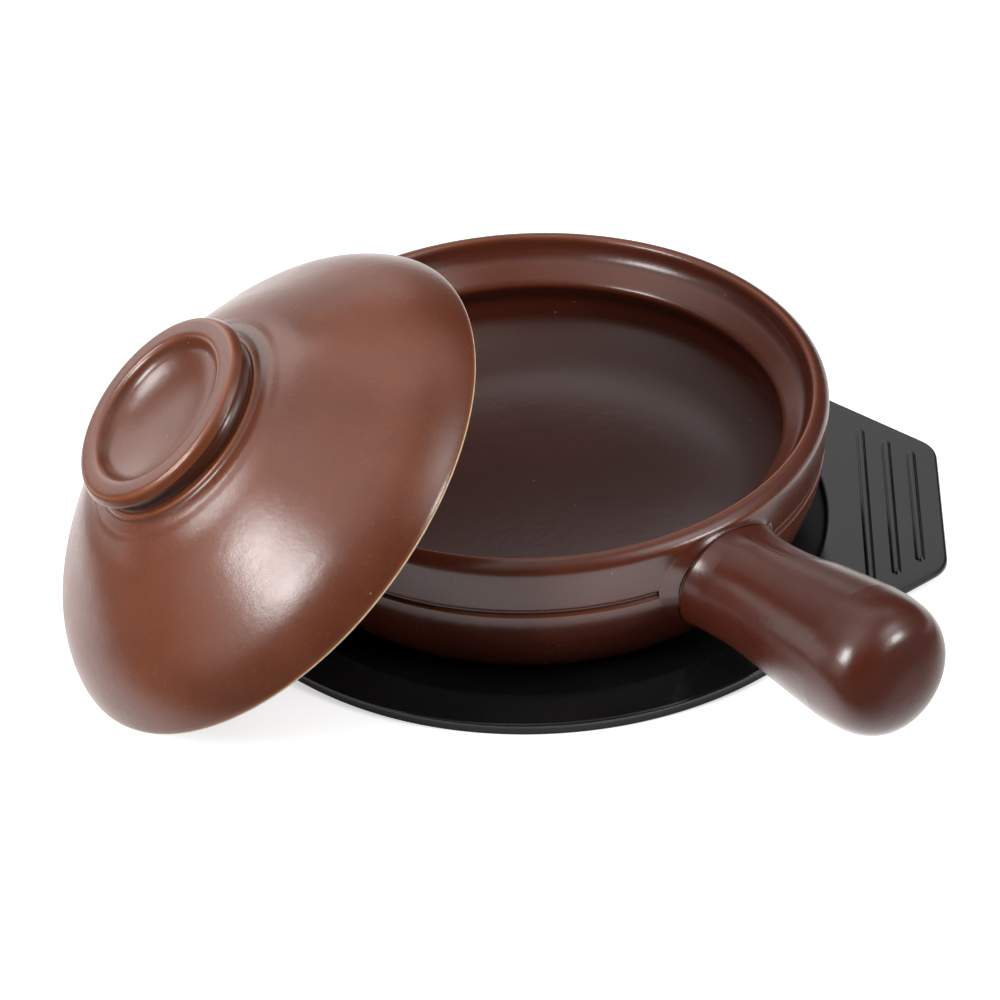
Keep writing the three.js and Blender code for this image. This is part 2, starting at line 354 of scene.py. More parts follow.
pot_marks = clay_marks(pot_prof, bare=pot_bare, extra_edge=ledge_painted_light)
pot_marks["edge"] = pot_marks["edge"] * np.where((pot_prof[:, 1] > 45.0) & (pot_prof[:, 0] > 87.0), 0.7, 1.0)
# painted shade: the inside of the bowl below the ledge is darkened towards the thick-glaze colour, standing in for the
# shade there; the same mark sets the glaze's roughness there
pot_marks["bowl_painted_shade_knob_dark"] = smoothstep(79.4, 77.2, pot_prof[:, 0]) * smoothstep(40.0, 36.0, pot_prof[:, 1]) * (pot_prof[:, 1] > 8.0)
pot_marks["dull"] = pot_marks["bowl_painted_shade_knob_dark"] * smoothstep(61.0, 70.0, pot_prof[:, 0]) * smoothstep(27.5, 22.0, pot_prof[:, 1])
pot_body = lathe_piece("pot_glazed_body", pot_prof, 352, np.zeros(3), np.array([0, 0, 1.0]), (True, True),
                       pot_marks, wobble=0.10, wobble_scale=0.022, seed=1.0, shape=potbody_shape)

# ==================================================================== handle
H_U = np.array([-math.sin(HANDLE_AZ), math.cos(HANDLE_AZ), 0.0])      # across, to the far side seen from the front
H_AXIS = (HANDLE_TIP - HANDLE_START) / np.linalg.norm(HANDLE_TIP - HANDLE_START)
H_V = np.cross(H_AXIS, H_U)
if H_V[2] < 0:
    H_V = -H_V                                                         # up
H_LEN = float(np.linalg.norm(HANDLE_TIP - HANDLE_START))
BARREL = np.array([[17.7, -12], [17.6, 0], [17.4, 10], [17.3, 20], [18.2, 32], [19.6, 44], [20.7, 55], [21.3, H_LEN - 21.0]])


def barrel_radius(s):
    from_table = spline([[float(b), float(a)] for a, b in BARREL], 0.5)
    return np.interp(s, from_table[:, 0], from_table[:, 1])


def barrel_press(s, phi):
    """How far a thumb pressed the soft clay in along the upper far side of the root: a shallow facet with one crisp edge."""
    edge = np.interp(s, [0, 30, 36, 39, 46], np.radians([87.5, 87.0, 79.0, 71.0, 60.0]))
    depth = 1.35 * (1 - smoothstep(24.0, 43.0, s))
    past_edge = (edge - phi) * 17.4
    return depth * smoothstep(-0.6, 3.2, past_edge) * (1 - smoothstep(7.0, 17.0, past_edge))


def wall_s(rho, phi):
    """How far along the handle's axis the pot's wall lies, at an offset of rho in the direction phi across the axis."""
    off = rho[..., None] * (np.cos(phi)[..., None] * H_U + np.sin(phi)[..., None] * H_V)
    lo, hi = np.full(rho.shape, -30.0), np.full(rho.shape, 40.0)
    for _ in range(40):
        mid = 0.5 * (lo + hi)
        q = HANDLE_START + off + mid[..., None] * H_AXIS
        f = np.hypot(q[..., 0], q[..., 1]) - outer_wall_radius(q[..., 2])
        hi = np.where(f > 0, mid, hi)
        lo = np.where(f > 0, lo, mid)
    return 0.5 * (lo + hi)


def handle_point(rho, phi, s):
    return HANDLE_START + rho[..., None] * (np.cos(phi)[..., None] * H_U + np.sin(phi)[..., None] * H_V) + s[..., None] * H_AXIS


def cap_profile(r0, length, power, end, step):
    th = np.linspace(0, math.pi / 2, 4000)
    r = r0 * np.clip(np.cos(th), 0, 1) ** (2 / power)
    h = length * np.clip(np.sin(th), 0, 1) ** (2 / power)
    c = even(np.stack([r, end - length + h], 1), step)
    c[-1] = [0, end]
    return c


HS = 288
phis = np.linspace(0, 2 * math.pi, HS, endpoint=False)


def around(degrees, values, soft=7.0):
    """A smooth value for each of the handle's directions phi, from a few of them in degrees."""
    v = np.interp(np.degrees(phis), degrees, values, period=360)
    x = np.arange(-HS // 2, HS // 2) * 360.0 / HS
    w = np.exp(-0.5 * (x / soft) ** 2)
    w /= w.sum()
    return np.real(np.fft.ifft(np.fft.fft(v) * np.fft.fft(np.fft.ifftshift(w))))


# the crease where the handle meets the wall, and how far the slip is smeared past it
CREASE = around([0, 19, 41, 59, 75, 88, 107, 126, 149, 169, 190, 225, 270, 315, 340], [19.2, 19.5, 18.2, 16.7, 16.2, 16.5, 17.4, 18.4, 18.7, 18.1, 17.7, 18.0, 18.4, 18.6, 18.8])
RISE = around([0, 19, 41, 75, 95, 115, 135, 150, 170, 215, 270, 320], [0.8, 0.7, 0.5, 0.4, 0.45, 1.0, 1.9, 2.1, 1.8, 1.3, 1.0, 0.9])
SMEAR = around([0, 19, 41, 59, 75, 90, 107, 126, 149, 169, 190, 225, 270, 315, 340], [2.4, 2.2, 2.0, 1.5, 1.2, 1.1, 1.6, 3.6, 6.0, 5.6, 4.4, 3.6, 3.4, 3.2, 2.8])
HOLLOW = around([0, 107, 126, 149, 190, 225], [2.0, 2.0, 1.4, 1.2, 1.5, 2.0])
root_s = wall_s(np.minimum(barrel_radius(np.full(HS, 6.0)), CREASE), phis) + 0.02


def barrel_at(s, lift):
    """Radius of the barrel: near the root it is pressed flat where the crease lies further in."""
    b = barrel_radius(s) - barrel_press(s, phis)
    return b - np.maximum(b - (CREASE - 0.15), 0.0) * (1 - smoothstep(2.0, 13.0, lift))


CAP_L = 21.0
cap_out = cap_profile(21.3, CAP_L, 3.4, H_LEN, 0.35)
cap_in = cap_profile(16.3, CAP_L - 5.0, 3.0, H_LEN - 5.0, 0.9)
rows = []
join = H_LEN - CAP_L
for t in np.linspace(0, 1, 130)[:-1]:
    s = root_s + (join - root_s) * t
    rows.append(handle_point(barrel_at(s, s - root_s), phis, s))
for r, s in cap_out:
    rows.append(handle_point(np.full(HS, r), phis, np.full(HS, s)))
outer_rows = len(rows)
inner = []
for t in np.linspace(0, 1, 24)[:-1]:
    s = root_s + 0.2 + (join - root_s) * t
    inner.append(handle_point(np.maximum(barrel_radius(s) - 5.0, 1.0), phis, s))
for r, s in cap_in:
    inner.append(handle_point(np.full(HS, r), phis, np.full(HS, s)))
allrows = np.array(inner[::-1] + rows)
verts = pack_rows(allrows, True, True)
faces, _ = skin(len(allrows), HS, True, True)
n = len(verts)
handle = new_mesh("handle_glazed", verts, faces, {"edge": np.zeros(n), "pool": np.zeros(n), "bare": np.r_[np.ones((len(inner) - 1) * HS + 1), np.zeros(n - (len(inner) - 1) * HS - 1)]})
flip_if_inside_out(handle)

# collar: the root flares a little and rolls into a tight crease, and the slip past it is smeared thin over the wall
# the crease and the slip next to it are darkened towards the thick-glaze colour through the pool mark
rows, crease_darkening_row = [], []
for lift in (11.5, 10.5, 9.5, 8.6, 7.8, 7.0, 6.2, 5.5, 4.8, 4.2, 3.7, 3.2, 2.8, 2.4, 2.05, 1.75, 1.45, 1.2, 1.0, 0.82, 0.66, 0.54, 0.46):
    b = barrel_at(root_s + lift + RISE, lift + RISE)
    flare = np.clip((9.0 - lift) / 8.0, 0, 1) ** 2
    rr = b - 0.05 + (CREASE + 0.22 - b) * flare - 0.45 * (1 - smoothstep(0.40, 1.5, lift))
    rows.append(handle_point(rr, phis, wall_s(rr, phis) + lift + RISE - 0.4))
    crease_darkening_row.append(0.85 * (1 - smoothstep(0.5, 1.5, lift)))
side = (phis + math.pi) % (2 * math.pi) - math.pi
for u in np.r_[0.0, 0.03, 0.06, 0.10, 0.14, 0.19, np.linspace(0.25, 1.0, 16)]:
    rr = CREASE - 0.26 + u * (SMEAR + 0.26)
    up_s = (RISE + 0.30 * smoothstep(0.0, 0.16, u)) * (1 - u) ** HOLLOW
    curl = 0.9 * np.exp(-((side - math.radians(21)) * 20 / 1.3) ** 2 - ((rr - CREASE - 0.9) / 0.9) ** 2)
    curl -= 0.5 * np.exp(-((side - math.radians(27)) * 20 / 1.2) ** 2 - ((rr - CREASE) / 1.2) ** 2)
    up_s = up_s + curl * (1 - u) - 0.03 * u ** 4
    rows.append(handle_point(rr, phis, wall_s(rr, phis) + up_s))
    crease_darkening_row.append(0.85 * (1 - smoothstep(0.05, 0.35, u)))
top_rows = len(rows)
for t in np.linspace(0, 1, 10):
    rr = CREASE + SMEAR + (-1.6 - SMEAR) * t
    rows.append(handle_point(rr, phis, wall_s(rr, phis) - 0.09))
    crease_darkening_row.append(0.0)
ringed = np.array(rows)
# the slip lies on the same slightly uneven wall as the pot's own skin
unit = ringed * [1, 1, 0]
unit /= np.linalg.norm(unit, axis=-1, keepdims=True)
ringed = ringed + unit * rough_throw(ringed, 0.10, 0.022, 1.0)[..., None]
verts = np.vstack(ringed)
faces = []
R = len(ringed)
for i in range(R):
    a, b = i * HS, ((i + 1) % R) * HS
    for j in range(HS):
        q = (j + 1) % HS
        faces.append((a + j, a + q, b + q, b + j))
n = len(verts)
handle_collar = new_mesh("handle_slip_collar", verts, faces, {"edge": np.zeros(n), "pool": np.repeat(crease_darkening_row, HS), "bare": np.zeros(n)})
flip_if_inside_out(handle_collar)

# over the root the glaze lies thin on the wall just under the rim
me = pot_body.data
co = np.zeros(len(me.vertices) * 3)
me.vertices.foreach_get("co", co)
co = co.reshape(-1, 3) / MM
turn_off = np.abs((np.arctan2(co[:, 1], co[:, 0]) - HANDLE_AZ + math.pi) % (2 * math.pi) - math.pi)
edge_now = np.zeros(len(co), np.float32)
me.attributes["edge"].data.foreach_get("value", edge_now)
thin_here = 0.55 * bump1(co[:, 2], 47.4, 1.4) * (1 - smoothstep(math.radians(9), math.radians(16), turn_off)) * (np.hypot(co[:, 0], co[:, 1]) > 88.5)
me.attributes["edge"].data.foreach_set("value", np.clip(edge_now + thin_here, 0, 1).astype(np.float32))

# ======================================================================= lid
DOME = [
    [0, 39.6], [30.6, 39.6], [30.6, 39.6], [31.3, 39.2], [31.8, 38.5], [32.6, 38.0], [34.0, 37.6], [35.9, 37.02], [36.9, 36.5], [37.9, 36.0], [39.3, 35.45], [43.9, 33.4],
    [50.3, 29.7], [56.8, 25.4], [63.2, 21.0], [68.9, 16.9], [73.6, 12.8], [77.0, 8.8], [79.4, 5.0],
    [80.7, 2.1], [80.95, 0.9], [80.95, 0.9], [80.45, 0.08], [80.45, 0.08], [75.3, 0.08], [75.3, 0.08],
    [74.6, 1.2], [72.7, 5.6], [69.2, 10.2], [64.2, 14.9], [58.2, 19.4], [51.7, 23.8], [45.2, 27.7],
    [39.0, 30.6], [30.0, 33.1], [15.0, 34.5], [0, 34.7],
]
dome_prof = profile(DOME, soft=0.30)
dome_prof[0, 0] = dome_prof[-1, 0] = 0.0


def dome_bare(p):
    r, h = p[:, 0], p[:, 1]
    return ((h < 1.05) & (r > 74.9)).astype(float)


lid_dome = lathe_piece("lid_glazed_dome", dome_prof, 384, LID_CENTRE, LID_AXIS, (True, True),
                       clay_marks(dome_prof, bare=dome_bare), wobble=0.12, wobble_scale=0.02, seed=2.0)
KNOB = [
    [0, 39.63], [30.1, 39.63], [30.1, 39.63], [29.3, 39.95], [28.5, 40.6], [28.0, 41.6], [27.85, 42.7], [28.2, 43.75], [29.3, 44.5], [31.1, 44.95], [31.1, 44.95], [31.85, 45.3], [31.9, 45.75],
    [31.9, 45.75], [31.35, 46.8], [30.85, 47.65], [30.3, 48.15], [29.4, 48.4], [27.6, 48.45], [25.6, 48.42], [24.5, 48.15], [23.7, 47.5], [23.0, 46.5], [21.8, 45.3],
    [19.6, 44.25], [16.0, 43.2], [12.0, 42.5], [6.0, 42.0], [0, 41.9],
]
knob_prof = profile(KNOB, soft=0.28)
knob_prof[0, 0] = knob_prof[-1, 0] = 0.0
knob_marks = clay_marks(knob_prof)
knob_marks["edge"] = knob_marks["edge"] * np.where((knob_prof[:, 1] < 46.6) & (knob_prof[:, 0] > 27.0), 0.25, 1.0) * np.where(knob_prof[:, 0] < 27.0, 0.6, 1.0)
# the same mark darkens the whole knob towards the thick-glaze colour and sets its roughness
knob_marks["bowl_painted_shade_knob_dark"] = 0.38 * (1 - smoothstep(16.0, 6.0, knob_prof[:, 0]) * 0.3)
lid_knob = lathe_piece("lid_ring_knob", knob_prof, 288, LID_CENTRE, LID_AXIS, (True, True),
                       knob_marks, wobble=0.10, wobble_scale=0.04, seed=3.0)


# ====================================================================== tray
def tray_outline(samples=1440):
    """The plate's outline from above: (x, y) for evenly stepped points, ears included."""
    root = np.array([TRAY_R * math.cos(EAR_TANGENT), TRAY_R * math.sin(EAR_TANGENT)])
    corner = np.array([EAR_X, EAR_HALF_W])
    d = (corner - root) / np.linalg.norm(corner - root)
    right = []
    # the straight outer edge, its rounded corner, the slanted side, then the round edge
    c = 5.5
    p0 = np.array([EAR_X, EAR_HALF_W - c])
    p1 = corner
    p2 = corner - d * c
    right += [np.array([EAR_X, y]) for y in np.linspace(0, EAR_HALF_W - c, 40)[:-1]]
    for t in np.linspace(0, 1, 24)[:-1]:
        right.append((1 - t) ** 2 * p0 + 2 * t * (1 - t) * p1 + t * t * p2)
    right += [p2 + (root - p2) * t for t in np.linspace(0, 1, 60)[:-1]]
    right += [np.array([TRAY_R * math.cos(a), TRAY_R * math.sin(a)]) for a in np.linspace(EAR_TANGENT, math.pi / 2, 120)]
    q = np.array(right)
    full = np.vstack([q, (q * [-1, 1])[::-1][1:], (q * [-1, -1])[1:], (q * [1, -1])[::-1][1:-1]])
    full = np.vstack([full, full[:1]])
    full = even(full, np.linalg.norm(np.diff(full, axis=0), axis=1).sum() / samples)
    return full[:-1]


def wrap_soften(c, radius, step):
    k = max(1, int(math.ceil(3 * radius / step)))
    x = np.arange(-k, k + 1) * step
    w = np.exp(-0.5 * (x / radius) ** 2)
    w /= w.sum()
    ext = np.vstack([c[-k:], c, c[:k]])
    return np.stack([np.convolve(ext[:, i], w, "valid") for i in range(c.shape[1])], 1)


outline = tray_outline()
ostep = float(np.linalg.norm(outline[1] - outline[0]))
outline = wrap_soften(outline, 0.9, ostep)
tang = np.roll(outline, -1, 0) - np.roll(outline, 1, 0)
tang /= np.linalg.norm(tang, axis=1, keepdims=True)
onorm = np.stack([tang[:, 1], -tang[:, 0]], 1)
oang = np.arctan2(outline[:, 1], outline[:, 0])
past = np.hypot(outline[:, 0], outline[:, 1]) - TRAY_R
circle = np.stack([np.cos(oang), np.sin(oang)], 1)
N = len(outline)


def ring(xy, z):
    return np.column_stack([xy, np.full(len(xy), z) if np.isscalar(z) else z])


rows, edge_row, matt_row = [], [], []
# recess floor, from the middle out, then its rounded wall
for r in (0.0, 20.0, 40.0, 60.0, 75.0, 84.0, 87.0):
    rows.append(ring(circle * r, RECESS_FLOOR)); edge_row.append(0.0); matt_row.append(1.0)
for r, z in ((87.9, 2.2), (88.4, 2.23), (88.8, 2.36), (89.05, 2.6), (89.2, 3.0), (89.3, 3.5), (89.38, 3.85), (89.55, 4.05), (89.85, 4.17), (90.3, 4.2)):
    rows.append(ring(circle * r, z)); edge_row.append(0.0); matt_row.append(1.0 if r < 89.3 else 0.0)
# the flat rim and the ears' upper face
inset = outline - onorm * 1.15
for t in (0.15, 0.4, 0.65, 0.85, 1.0):
    rows.append(ring(circle * 90.3 * (1 - t) + inset * t, TRAY_TOP)); edge_row.append(0.0)
for off, z in ((0.85, 4.185), (0.55, 4.12), (0.32, 3.98), (0.16, 3.78), (0.06, 3.5), (0.01, 3.15), (0.0, 2.9)):
    rows.append(ring(outline - onorm * off, z)); edge_row.append(0.35 if z < 3.4 else 0.0)
under = smoothstep(0.0, 1.5, past)
for off, z in ((0.02, 2.74), (0.10, 2.64), (0.25, 2.6)):
    rows.append(ring(outline - onorm * off, z)); edge_row.append(1.0)
# under the ears the plate steps back to the disc's own side
base_r = np.minimum(np.hypot(outline[:, 0], outline[:, 1]) - 0.3, TRAY_R - 0.12)
for r_off, z in ((0.0, 2.6), (0.02, 2.35), (0.06, 1.5), (0.1, 0.8), (0.18, 0.35), (0.45, 0.08), (0.9, 0.0)):
    rows.append(ring(circle * (base_r - r_off)[:, None], z)); edge_row.append(1.0 if z > 0.05 else 0.0)
for r in (100.0, 97.0, 60.0, 0.0):
    rows.append(ring(circle * r, 0.0)); edge_row.append(0.0)
T = np.array(rows)
verts = pack_rows(T, True, True)
faces, _ = skin(len(T), N, True, True)
matt_row += [0.0] * (len(edge_row) - len(matt_row))
edge_attr = pack_rows(np.repeat(np.array(edge_row)[:, None, None], N, 1), True, True)[:, 0]
matt_attr = pack_rows(np.repeat(np.array(matt_row)[:, None, None], N, 1), True, True)[:, 0]


def rib_mesh(x, length, base):
    """A low bar with rounded ends and a rounded top, sunk a little into the ear."""
    half = length / 2 - 1.25
    m = 20
    ang = np.linspace(0, math.pi, m)
    path = [(1.25 * math.cos(a), half + 1.25 * math.sin(a)) for a in ang]
    path += [(1.25 * math.cos(a), -half + 1.25 * math.sin(a)) for a in ang + math.pi]
    path = np.array(path)
    nrm = np.array([(math.cos(a), math.sin(a)) for a in ang] + [(math.cos(a), math.sin(a)) for a in ang + math.pi])
    core = path - nrm * 1.25
    rings = []
    for w, z in ((1.6, -0.35), (1.6, -0.02), (1.42, 0.03), (1.32, 0.14), (1.24, 0.32), (1.12, 0.55), (0.93, 0.73), (0.68, 0.84), (0.36, 0.89), (0.02, 0.9)):
        rings.append(np.column_stack([core + nrm * w + [x, 0], np.full(len(core), TRAY_TOP + z)]))
    rings = np.array(rings)
    v = np.vstack(rings)
    k = len(core)
    f = []
    for i in range(len(rings) - 1):
        for j in range(k):
            q = (j + 1) % k
            f.append((base + i * k + j, base + i * k + q, base + (i + 1) * k + q, base + (i + 1) * k + j))
    f.append(tuple(base + j for j in range(k))[::-1])
    top = base + (len(rings) - 1) * k
    for j in range(m - 1):
        f.append((top + j, top + j + 1, top + 2 * m - 2 - j, top + 2 * m - 1 - j)) if j < m - 1 else None
    return v, f


rib_v, rib_f = [], []
for side in (1, -1):
    for x, length in RIBS:
        v, f = rib_mesh(x * side, length, 0)
        o = len(verts) + sum(len(a) for a in rib_v)
        rib_v.append(v)
        rib_f += [tuple(i + o for i in q) for q in f]
rib_all = np.vstack(rib_v)
edge_attr = np.r_[edge_attr, np.zeros(len(rib_all))]
matt_attr = np.r_[matt_attr, np.zeros(len(rib_all))]
tray = new_mesh("tray_moulded_plate", np.vstack([verts, rib_all]), list(faces) + rib_f, {"rough_edge": edge_attr, "matt": matt_attr})
flip_if_inside_out(tray)
bm = bmesh.new()
bm.from_mesh(tray.data)
bmesh.ops.recalc_face_normals(bm, faces=bm.faces)
bm.to_mesh(tray.data)
bm.free()


# ================================================================= materials
def new_material(name):
    m = bpy.data.materials.new(name)
    m.use_nodes = True
    t = m.node_tree
    t.nodes.clear()
    out = t.nodes.new("ShaderNodeOutputMaterial")
    bsdf = t.nodes.new("ShaderNodeBsdfPrincipled")
    t.links.new(bsdf.outputs[0], out.inputs[0])
    return m, t, bsdf


class Net:
    """Short names for the nodes that the materials use."""

    def __init__(self, tree):
        self.t = tree
        self.coords = tree.nodes.new("ShaderNodeTexCoord").outputs["Object"]

    def noise(self, scale, detail=2.0, rough=0.5, distortion=0.0, vector=None):
        n = self.t.nodes.new("ShaderNodeTexNoise")
        n.inputs["Scale"].default_value = scale
        n.inputs["Detail"].default_value = detail
        n.inputs["Roughness"].default_value = rough
        n.inputs["Distortion"].default_value = distortion
        self.t.links.new(vector or self.coords, n.inputs["Vector"])
        return n.outputs["Fac"]

    def voronoi(self, scale, feature="F1", out="Distance", randomness=1.0):
        n = self.t.nodes.new("ShaderNodeTexVoronoi")
        n.feature = feature
        n.inputs["Scale"].default_value = scale
        n.inputs["Randomness"].default_value = randomness
        self.t.links.new(self.coords, n.inputs["Vector"])
        return n.outputs[out]

    def attr(self, name):
        n = self.t.nodes.new("ShaderNodeAttribute")
        n.attribute_name = name
        return n.outputs["Fac"]

    def remap(self, value, a, b, c=0.0, d=1.0, smooth=True):
        n = self.t.nodes.new("ShaderNodeMapRange")
        n.interpolation_type = "SMOOTHSTEP" if smooth else "LINEAR"
        n.inputs["From Min"].default_value = a
        n.inputs["From Max"].default_value = b
        n.inputs["To Min"].default_value = c
        n.inputs["To Max"].default_value = d
        self.t.links.new(value, n.inputs["Value"])
        return n.outputs["Result"]

    def math(self, op, a, b=None, clamp=False):
        n = self.t.nodes.new("ShaderNodeMath")
        n.operation = op
        n.use_clamp = clamp
        for i, x in enumerate((a, b)):
            if x is None:
                continue
            if isinstance(x, (int, float)):
                n.inputs[i].default_value = x
            else:
                self.t.links.new(x, n.inputs[i])
        return n.outputs[0]

    def mix(self, fac, a, b):
        n = self.t.nodes.new("ShaderNodeMix")
        n.data_type = "RGBA"
        if isinstance(fac, (int, float)):
            n.inputs[0].default_value = fac
        else:
            self.t.links.new(fac, n.inputs[0])
        for i, x in ((6, a), (7, b)):
            if isinstance(x, tuple):
                n.inputs[i].default_value = (*x, 1.0)
            else:
                self.t.links.new(x, n.inputs[i])
        return n.outputs[2]

    def mixf(self, fac, a, b):
        n = self.t.nodes.new("ShaderNodeMix")
        n.data_type = "FLOAT"
        self.t.links.new(fac, n.inputs[0])
        for i, x in ((2, a), (3, b)):
            if isinstance(x, (int, float)):
                n.inputs[i].default_value = x
            else:
                self.t.links.new(x, n.inputs[i])
        return n.outputs[0]

    def bump(self, height, distance, strength=1.0, normal=None):
        n = self.t.nodes.new("ShaderNodeBump")
        n.inputs["Distance"].default_value = distance
        n.inputs["Strength"].default_value = strength
        self.t.links.new(height, n.inputs["Height"])
        if normal is not None:
            self.t.links.new(normal, n.inputs["Normal"])
        return n.outputs[0]

    def link(self, a, socket):
        self.t.links.new(a, socket)


CLAY = (0.740, 0.600, 0.400)


def glaze_material(name, dark, mid, thin_, thick, gloss):
    GLAZE_DARK, GLAZE_MID, GLAZE_THIN, GLAZE_THICK = dark, mid, thin_, thick
    m, t, b = new_material(name)
    g = Net(t)
    broad = g.noise(16.0, 3.0, 0.55)
    cloud = g.noise(70.0, 4.0, 0.6)
    grain = g.noise(900.0, 2.0, 0.6)
    colour = g.mix(g.remap(broad, 0.35, 0.68), GLAZE_DARK, GLAZE_MID)
    colour = g.mix(g.math("MULTIPLY", g.remap(cloud, 0.42, 0.70), 0.20), colour, GLAZE_MID)
    colour = g.mix(g.math("MULTIPLY", g.remap(grain, 0.55, 0.85), 0.25), colour, GLAZE_THIN)
    # the glaze runs thin and orange over edges, and gathers dark in hollows; the edge mark also carries the ledge's
    # painted light
    edge = g.math("MULTIPLY", g.attr("edge"), g.remap(g.noise(45.0, 3.0, 0.6), 0.25, 0.65, 0.55, 1.0), True)
    colour = g.mix(edge, colour, GLAZE_THIN)
    colour = g.mix(g.math("MULTIPLY", g.attr("pool"), 0.8), colour, GLAZE_THICK)
    # painted shade: this mark darkens the bowl's inside below the ledge; on the knob it darkens the knob
    colour = g.mix(g.math("MULTIPLY", g.attr("bowl_painted_shade_knob_dark"), 0.60), colour, GLAZE_THICK)
    # sparse pale specks and a few pinholes
    cell = g.voronoi(165.0)
    pick = g.t.nodes.new("ShaderNodeSeparateColor")
    g.link(g.voronoi(165.0, out="Color"), pick.inputs[0])
    speck = g.math("MULTIPLY", g.remap(cell, 0.030, 0.062, 1.0, 0.0), g.math("GREATER_THAN", pick.outputs[0], 0.80))
    hole = g.math("MULTIPLY", g.remap(cell, 0.030, 0.055, 1.0, 0.0), g.math("LESS_THAN", pick.outputs[1], 0.035))
    colour = g.mix(g.math("MULTIPLY", speck, 0.45), colour, (0.42, 0.24, 0.15))
    colour = g.mix(g.math("MULTIPLY", hole, 0.8), colour, (0.010, 0.005, 0.004))
    bare = g.remap(g.math("ADD", g.attr("bare"), g.math("MULTIPLY", g.math("SUBTRACT", g.noise(160.0, 3.0, 0.6), 0.5), 0.35)), 0.42, 0.58)
    clay = g.mix(g.remap(g.noise(420.0, 3.0, 0.65), 0.3, 0.75), CLAY, (0.60, 0.44, 0.26))
    colour = g.mix(bare, colour, clay)
    g.link(colour, b.inputs["Base Color"])
    rough = g.remap(g.noise(55.0, 3.0, 0.55), 0.3, 0.75, gloss, gloss + 0.06)
    rough = g.mixf(g.attr("bowl_painted_shade_knob_dark"), rough, 0.225)
    rough = g.mixf(g.attr("dull"), rough, 0.56)
    g.link(g.mixf(bare, rough, 0.85), b.inputs["Roughness"])
    b.inputs["IOR"].default_value = 1.52
    b.inputs["Coat Weight"].default_value = 0.0
    peel = g.math("ADD", g.math("MULTIPLY", g.noise(420.0, 2.0, 0.5), 0.6), g.math("MULTIPLY", g.noise(1300.0, 2.0, 0.6), 0.25))
    peel = g.math("ADD", peel, g.math("MULTIPLY", g.noise(110.0, 2.0, 0.5), 1.2))
    peel = g.math("SUBTRACT", peel, g.math("MULTIPLY", hole, 2.0))
    normal = g.bump(peel, 0.00006, 1.0)
    g.link(normal, b.inputs["Normal"])
    return m


def plastic_material(name):
    m, t, b = new_material(name)
    g = Net(t)
    cut = g.attr("rough_edge")
    blotch = g.noise(520.0, 4.0, 0.7)
    base = g.mix(g.remap(g.noise(30.0, 3.0, 0.5), 0.3, 0.7), (0.0060, 0.0063, 0.0070), (0.0085, 0.0088, 0.0095))
    colour = g.mix(g.math("MULTIPLY", cut, g.remap(blotch, 0.35, 0.7, 0.35, 1.0)), base, (0.013, 0.013, 0.014))
    # a few specks of dust
    pick = g.t.nodes.new("ShaderNodeSeparateColor")
    g.link(g.voronoi(120.0, out="Color"), pick.inputs[0])
    dust = g.math("MULTIPLY", g.remap(g.voronoi(120.0), 0.018, 0.034, 1.0, 0.0), g.math("GREATER_THAN", pick.outputs[0], 0.90))
    colour = g.mix(g.math("MULTIPLY", dust, 0.35), colour, (0.35, 0.35, 0.34))
    g.link(colour, b.inputs["Base Color"])
    rough = g.remap(g.noise(90.0, 4.0, 0.6), 0.3, 0.75, 0.13, 0.19)
    g.link(g.mixf(cut, g.mixf(g.attr("matt"), rough, 0.30), 0.55), b.inputs["Roughness"])
    g.link(g.remap(g.attr("matt"), 0.0, 1.0, 0.50, 0.07), b.inputs["Specular IOR Level"])
    b.inputs["IOR"].default_value = 1.50
    fine = g.math("ADD", g.math("MULTIPLY", g.noise(1500.0, 2.0, 0.6), 0.3), g.math("MULTIPLY", g.noise(60.0, 2.0, 0.5), 1.6))
    fine = g.math("ADD", fine, g.math("MULTIPLY", g.math("MULTIPLY", cut, blotch), 5.0))
    g.link(g.bump(fine, 0.00004, 1.0), b.inputs["Normal"])
    return m


brown = glaze_material("brown_glaze_pot", (0.053, 0.0110, 0.0057), (0.074, 0.0163, 0.0082), (0.165, 0.0420, 0.0150), (0.031, 0.0058, 0.0032), 0.225)
# painted light: the lid's glaze is a lighter copy of the pot's glaze, standing in for the brighter light on the lid
lid_glaze_lit_copy = glaze_material("brown_glaze_lid_painted_lighter", (0.086, 0.0218, 0.0088), (0.128, 0.0350, 0.0150), (0.300, 0.0850, 0.0270), (0.045, 0.0105, 0.0055), 0.245)
black = plastic_material("black_moulded_plastic")
for ob in (pot_body, handle, handle_collar, lid_dome, lid_knob):
    ob.data.materials.append(lid_glaze_lit_copy if ob in (lid_dome, lid_knob) else brown)
tray.data.materials.append(black)

for ob, node, body in (
    (pot_body, "pot_body", "pot"), (handle, "handle", "pot"), (handle_collar, "handle_collar", "pot"),
    (lid_dome, "lid_dome", "lid"), (lid_knob, "lid_knob", "lid"), (tray, "tray", "tray"),
):
    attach(ob, body)
    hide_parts(node)

# ==================================================================== camera
YAW, PITCH, ROLL, TURN = -0.0099, 0.6290, -0.0444, math.radians(2.0)
fwd = np.array([math.sin(YAW) * math.cos(PITCH), math.cos(YAW) * math.cos(PITCH), -math.sin(PITCH)])
right = np.array([math.cos(YAW), -math.sin(YAW), 0.0])
up = np.cross(right, fwd)
cr = math.cos(ROLL) * right + math.sin(ROLL) * up
cu = -math.sin(ROLL) * right + math.cos(ROLL) * up
turn = np.array([[math.cos(TURN), -math.sin(TURN), 0], [math.sin(TURN), math.cos(TURN), 0], [0, 0, 1.0]])
cr, cu, cf = turn @ cr, turn @ cu, turn @ fwd
cam_data = bpy.data.cameras.new("camera")
cam_data.sensor_fit = "HORIZONTAL"
cam_data.sensor_width = 36.0
cam_data.lens = 162.0
cam_data.clip_start = 0.05
cam_data.clip_end = 50.0
cam = bpy.data.objects.new("camera", cam_data)
